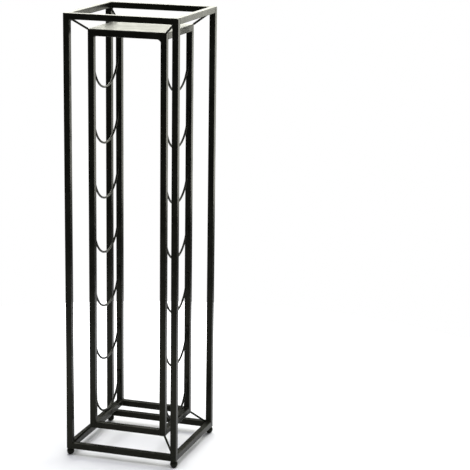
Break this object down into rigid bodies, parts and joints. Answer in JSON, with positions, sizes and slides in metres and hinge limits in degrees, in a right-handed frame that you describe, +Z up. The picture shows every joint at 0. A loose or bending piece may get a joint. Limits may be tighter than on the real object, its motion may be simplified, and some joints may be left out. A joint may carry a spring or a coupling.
{
  "type": "bottle rack",
  "caption": "Tall free-standing rack of square steel tube, an inner cage held by thin rods inside an outer cage, with wire half rings that carry bottles on their sides.",
  "frame": {"origin": "on the floor, under the middle of the rack", "axes": "+Z up; X across the broad front and along the bottles, whose necks point to +X; the front faces -Y"},
  "size_m": [0.223, 0.217, 0.838],
  "materials": {
    "outer_frame": "semi-gloss black powder coat on square steel tube",
    "inner_frame": "semi-gloss black powder coat on square steel tube",
    "top_plate": "semi-gloss black powder coat on flat sheet",
    "corner_rods": "semi-gloss black powder coat on round rod",
    "cradles": "semi-gloss black powder coat on bent round wire",
    "ball_feet": "glossy black coat on a steel ball"
  },
  "bodies": {
    "root": {"outer_post_front_left": "outer_frame", "post_cap_front_left": "outer_frame", "ball_foot_front_left": "ball_feet", "outer_post_front_right": "outer_frame", "post_cap_front_right": "outer_frame", "ball_foot_front_right": "ball_feet", "outer_post_back_left": "outer_frame", "post_cap_back_left": "outer_frame", "ball_foot_back_left": "ball_feet", "outer_post_back_right": "outer_frame", "post_cap_back_right": "outer_frame", "ball_foot_back_right": "ball_feet", "outer_top_rail_front": "outer_frame", "outer_bottom_rail_front": "outer_frame", "outer_top_rail_back": "outer_frame", "outer_bottom_rail_back": "outer_frame", "outer_top_rail_left": "outer_frame", "outer_bottom_rail_left": "outer_frame", "outer_top_rail_right": "outer_frame", "outer_bottom_rail_right": "outer_frame", "inner_post_front_left": "inner_frame", "inner_post_front_right": "inner_frame", "inner_post_back_left": "inner_frame", "inner_post_back_right": "inner_frame", "inner_top_rail_front": "inner_frame", "inner_bottom_rail_front": "inner_frame", "inner_top_rail_back": "inner_frame", "inner_bottom_rail_back": "inner_frame", "inner_top_rail_left": "inner_frame", "inner_bottom_rail_left": "inner_frame", "inner_top_rail_right": "inner_frame", "inner_bottom_rail_right": "inner_frame", "top_plate": "top_plate", "corner_rod_top_front_left": "corner_rods", "corner_rod_top_front_right": "corner_rods", "corner_rod_top_back_left": "corner_rods", "corner_rod_top_back_right": "corner_rods", "corner_rod_bottom_front_left": "corner_rods", "corner_rod_bottom_front_right": "corner_rods", "corner_rod_bottom_back_left": "corner_rods", "corner_rod_bottom_back_right": "corner_rods", "body_cradle_1": "cradles", "neck_cradle_1": "cradles", "body_cradle_2": "cradles", "neck_cradle_2": "cradles", "body_cradle_3": "cradles", "neck_cradle_3": "cradles", "body_cradle_4": "cradles", "neck_cradle_4": "cradles", "body_cradle_5": "cradles", "neck_cradle_5": "cradles", "body_cradle_6": "cradles", "neck_cradle_6": "cradles", "body_cradle_7": "cradles", "neck_cradle_7": "cradles"}
  },
  "joints": []
}
